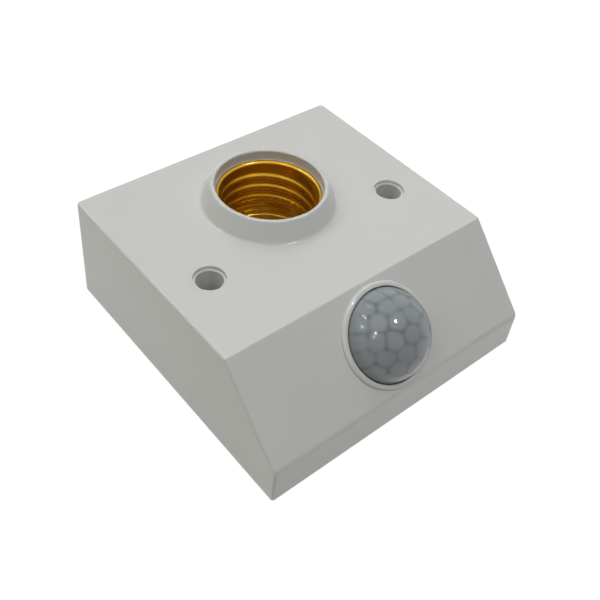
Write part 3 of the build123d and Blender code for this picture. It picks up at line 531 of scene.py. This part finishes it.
def cell_distances(rays):
    """For each ray, in mm on the sphere: how far its own cell's middle is, how far the nearest border is,
    which is the gap between the two nearest cells' cosines over the angle between neighbours, and how far
    the nearest corner is, by the same sum with the third nearest cell. Last comes the cell's number."""
    cosines = rays @ cells.T
    ranked = np.sort(cosines, axis=-1)
    first, second, third = ranked[..., -1], ranked[..., -2], ranked[..., -3]
    middle = sphere_radius * np.arccos(np.clip(first, -1, 1))
    border, corner = (sphere_radius * (first - other) / neighbour_angle for other in (second, third))
    return middle, border, corner, cosines.argmax(axis=-1)


edge_tilt = np.arccos((dome_lift + sphere_drop) / sphere_radius)
angles = np.linspace(0, TURN, lens_columns, endpoint=False)
tilt, angle = np.meshgrid(np.linspace(0, edge_tilt, lens_rows), angles, indexing="ij")
outer = directions(tilt, angle)
middle, border, corner, number = cell_distances(outer)
swell = swell_rate * np.minimum(middle, swell_reach) ** 2
swell *= np.clip((edge_tilt - tilt) / swell_fade, 0, 1)
dome = outer * (sphere_radius - swell)[..., None] - (0, 0, sphere_drop)

steps = np.array([
    (lens_radius, flange_top), (flange_radius, flange_top), (flange_radius, flange_back),
    (lens_radius - skin, flange_back),
])
ring = np.stack([np.cos(angles), np.sin(angles)], axis=-1)
step_heights = np.broadcast_to(steps[:, None, 1:], (len(steps), lens_columns, 1))
skirt = np.concatenate([steps[:, None, :1] * ring, step_heights], axis=-1)

inner_tilt = np.arctan2(lens_radius - skin, hollow_lift + sphere_drop)
tilt, angle = np.meshgrid(np.linspace(inner_tilt, 0, lens_rows), angles, indexing="ij")
rays = directions(tilt, angle)
flat = (sphere_radius - skin) / np.max(rays @ cells.T, axis=-1)
reach = (lens_radius - skin) / np.maximum(np.sin(tilt), 1e-6)
hollow = rays * np.minimum(flat, reach)[..., None] - (0, 0, sphere_drop)

lens_grid = np.concatenate([dome, skirt, hollow])
lens_points = lens_foot + lens_grid @ np.stack([across_slope, up_slope, lens_normal])
lens, used = surface("sensor_lens", lens_points, "lens_polyethylene", "lens_dome")
lens.data.set_sharp_from_angle(angle=np.radians(40))

# %% Painted light and shade of the cells
# widths in mm, depths as shares of the full painted shade. The golden ratio gives each cell a painted light
# unlike its neighbours', and the painted light is strongest in the cell's middle.
border_width, border_depth, corner_width, corner_depth = 0.36, 0.65, 0.55, 0.5
painted_light_peak, painted_light_reach, painted_light_least, golden = 1.2, 3.0, 0.2, 0.618
own_painted_light = painted_light_least + (1 - painted_light_least) * (number * golden % 1)
# painted shade along the borders and at the corners, and painted light in each cell's middle
marks = {
    "painted_border_shade": border_depth * np.exp(-((border / border_width) ** 2)),
    "painted_corner_shade": corner_depth * np.exp(-((corner / corner_width) ** 2)),
    "painted_cell_light": np.clip(painted_light_peak - middle / painted_light_reach, 0, 1) * own_painted_light,
}
for mark, values in marks.items():
    over_grid = np.zeros(lens_points.shape[:2], np.float32)
    over_grid[: len(dome)] = values
    attribute = lens.data.attributes.new(mark, "FLOAT", "POINT")
    attribute.data.foreach_set("value", over_grid.ravel()[used])
print("cell marks:", list(marks))

# %% [markdown]
# ## The studio
#
# The floor is a pale sheet that shows white to the eye and in reflections, as a bright studio floor does,
# and still takes the object's shadow, because a fifth of it is ordinary paper. For light that bounces off
# it, it is paper alone. Seen from below it is clear, and so it is for light that leaves the object's back
# within a millimetre of it, so that the back can be looked at too.

# %% Floor
def seen_by_eye(tree, path):
    """1 for a ray that reaches the camera directly, by a reflection or through something clear, else 0."""
    direct = maths(tree, "MAXIMUM", path["Is Camera Ray"], path["Is Glossy Ray"])
    return maths(tree, "MAXIMUM", direct, path["Is Transmission Ray"])


glow_share, glow_strength, touch, floor_half, floor_gap = 0.8, 1.2, 1.0 * MM, 3.0, 0.2 * MM
white = (1.0, 1.0, 1.0, 1.0)
floor_finish = bpy.data.materials.new("studio_floor")
floor_finish.use_nodes = True
tree = floor_finish.node_tree
tree.nodes.clear()
path = add(tree, "LightPath").outputs
share = maths(tree, "MULTIPLY", seen_by_eye(tree, path), glow_share)
paper = add(tree, "BsdfDiffuse", {"Color": linear("#B4B4AC")}).outputs[0]
glow = add(tree, "Emission", {"Color": white, "Strength": glow_strength}).outputs[0]
top_side = add(tree, "MixShader", {0: share, 1: paper, 2: glow}).outputs[0]
clear = add(tree, "BsdfTransparent").outputs[0]
below = add(tree, "NewGeometry").outputs["Backfacing"]
open_part = maths(tree, "MAXIMUM", below, maths(tree, "LESS_THAN", path["Ray Length"], touch))
both = add(tree, "MixShader", {0: open_part, 1: top_side, 2: clear}).outputs[0]
add(tree, "OutputMaterial", {"Surface": both})

corners = [
    (x * floor_half, y * floor_half, -floor_gap) for x, y in ((-1, -1), (1, -1), (1, 1), (-1, 1))
]
mesh = bpy.data.meshes.new("studio_floor")
mesh.from_pydata(corners, [], [(0, 1, 2, 3)])
mesh.materials.append(floor_finish)
floor = bpy.data.objects.new("studio_floor", mesh)
bpy.context.scene.collection.objects.link(floor)
print("floor:", 2 * floor_half, "m across")

# %% [markdown]
# ## Light
#
# Most of the light is a soft glow high behind the object, as from a window, in a dim even sky, so the top is
# brightest and the slope, which faces away from it, is calmer. The glow is the cosine of the angle to the
# window's middle to the fourth power. Below the horizon the sky is brighter, as over a pale floor, which
# lights the back of the object. To the eye and in reflections the sky is plain white.

# %% Sky
def towards(azimuth, elevation):
    """The unit vector to an azimuth and an elevation in degrees: (cos a cos e, sin a cos e, sin e)."""
    turn, rise = np.radians((azimuth, elevation))
    return Vector((np.cos(turn) * np.cos(rise), np.sin(turn) * np.cos(rise), np.sin(rise)))


window_azimuth, window_elevation = 62.0, 50.0
window_level, window_power, sky_level, ground_level = 1.04, 4.0, 0.085, 0.6
world = bpy.data.worlds.new("studio_sky")
bpy.context.scene.world = world
world.use_nodes = True
tree = world.node_tree
tree.nodes.clear()
seen = seen_by_eye(tree, add(tree, "LightPath").outputs)
ray = add(tree, "TexCoord").outputs["Generated"]
window = {0: ray, 1: towards(window_azimuth, window_elevation)}
cosine = add(tree, "VectorMath", window, operation="DOT_PRODUCT").outputs["Value"]
lobe = maths(tree, "POWER", maths(tree, "MAXIMUM", cosine, 0.0), window_power)
level = maths(tree, "MULTIPLY_ADD", lobe, window_level, sky_level)
under = maths(tree, "LESS_THAN", add(tree, "SeparateXYZ", {0: ray}).outputs["Z"], 0.0)
level = maths(tree, "MULTIPLY_ADD", under, ground_level, level)
soft = add(tree, "Background", {"Color": linear("#FEFEF8"), "Strength": level}).outputs[0]
plain = add(tree, "Background", {"Color": white, "Strength": 1.0}).outputs[0]
add(tree, "OutputWorld", {"Surface": add(tree, "MixShader", {0: seen, 1: soft, 2: plain}).outputs[0]})
print("sky:", world.name)

# %% [markdown]
# ## Lamps
#
# Nine small ceiling lamps stand in the directions that the sparkles on the photograph's dome come from, and
# a near lamp gives the dome its one strong highlight. Two wide weak lamps lift the left side and the front.
# A lamp's level is how bright it alone would show a white card that faces it, so its power is that level
# times pi squared times its distance squared.

# %% Lamps
def lamp(name, azimuth, elevation, distance, across, level, colour="#FFFFFF", about=(0, 0, 0)):
    """A round lamp that faces a place, from a direction in degrees and a distance in m."""
    away = towards(azimuth, elevation)
    light = bpy.data.lights.new(name, "AREA")
    light.shape, light.size = "DISK", across
    light.energy, light.color = level * np.pi**2 * distance**2, linear(colour)[:3]
    made = bpy.data.objects.new(name, light)
    facing = away.to_track_quat("Z", "Y").to_matrix().to_4x4()
    made.matrix_world = Matrix.Translation(Vector(about) + away * distance) @ facing
    bpy.context.scene.collection.objects.link(made)


ceiling_lamps = (
    (93, 45), (91, 54), (71, 68), (123, 42), (132, 49), (149, 35), (158, 38), (-163, 48), (-162, 37)
)
for number, (azimuth, elevation) in enumerate(ceiling_lamps):
    lamp(f"ceiling_lamp_{number}", azimuth, elevation, distance=1.5, across=0.03, level=0.03)
lens_place = (0.0, -0.042, 0.030)
lamp("near_lamp", -58.0, 69.0, distance=0.5, across=0.06, level=0.28, colour="#F2F3FF", about=lens_place)
lamp("fill_lamp", -165.0, 62.0, distance=0.5, across=0.4, level=0.07, colour="#FFF6E6")
lamp("front_lamp", -90.0, 24.0, distance=0.8, across=0.28, level=0.018)
print("lamps:", len(bpy.data.lights))

# %% [markdown]
# ## Camera
#
# The camera stands where the photograph was taken from. Its place, direction and roll were solved from the
# corners of the housing in the picture, and a lens of 49 mm on a 36 mm wide frame gives the same view.

# %% Camera
camera_place = Vector((-0.110788, -0.116235, 0.171073))
camera_azimuth, camera_elevation, camera_roll = -133.975, 45.85, 6.09
optics = bpy.data.cameras.new("camera")
optics.lens, optics.sensor_width = 48.791, 36.0
optics.clip_start = 0.005
camera = bpy.data.objects.new("camera", optics)
bpy.context.scene.collection.objects.link(camera)
aimed = towards(camera_azimuth, camera_elevation).to_track_quat("Z", "Y").to_matrix().to_4x4()
rolled = Matrix.Rotation(np.radians(camera_roll), 4, "Z")
camera.matrix_world = Matrix.Translation(camera_place) @ aimed @ rolled
bpy.context.scene.camera = camera
bpy.context.scene.view_settings.view_transform = "Standard"
print("camera:", round(camera_place.length, 3), "m away")
